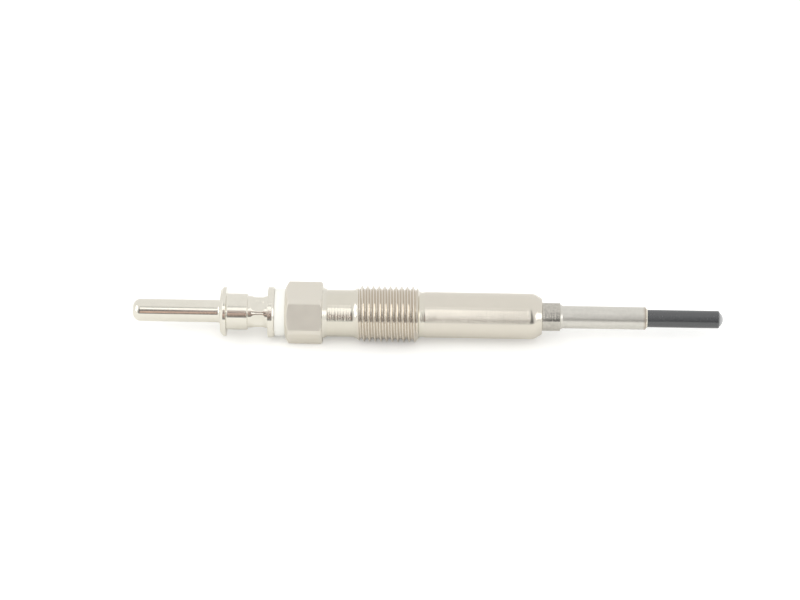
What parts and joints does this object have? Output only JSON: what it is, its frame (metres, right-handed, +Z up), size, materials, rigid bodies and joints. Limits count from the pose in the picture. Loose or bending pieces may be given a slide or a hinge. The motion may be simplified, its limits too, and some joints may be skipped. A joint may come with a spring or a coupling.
{
  "type": "glow plug",
  "caption": "Slim glow plug with a pin terminal, crimped barrel, white bush, hexagon head, threaded shell, conical seat and a ceramic heating rod held in a stepped sleeve.",
  "frame": {"origin": "on the plug's axis, at the rim where the conical seat starts", "axes": "+X along the axis towards the heating tip, +Z up, square to the hexagon flat that the plug lies on"},
  "size_m": [0.1045, 0.011, 0.01],
  "materials": {
    "terminal_nickel": "bright nickel plate on turned steel",
    "bush_plastic": "moulded white plastic",
    "seal_rubber": "moulded black rubber",
    "shell_nickel": "nickel plate on turned steel",
    "rod_steel": "drawn steel",
    "ring_steel": "turned stainless steel",
    "sleeve_steel": "ground stainless steel, dull at the collar",
    "braze_alloy": "solidified silver braze",
    "rod_ceramic": "ground dark grey nitride ceramic",
    "loop_ceramic": "sintered conductive ceramic",
    "lead_ceramic": "sintered conductive ceramic"
  },
  "bodies": {
    "root": {"pin_terminal": "terminal_nickel", "insulating_bush": "bush_plastic", "sealing_ring": "seal_rubber", "metal_shell": "shell_nickel", "centre_rod": "rod_steel", "electrode_ring": "ring_steel", "heater_sleeve": "sleeve_steel", "braze_fillet": "braze_alloy", "ceramic_rod": "rod_ceramic", "heating_loop": "loop_ceramic", "live_lead": "lead_ceramic", "earth_lead": "lead_ceramic"}
  },
  "joints": []
}
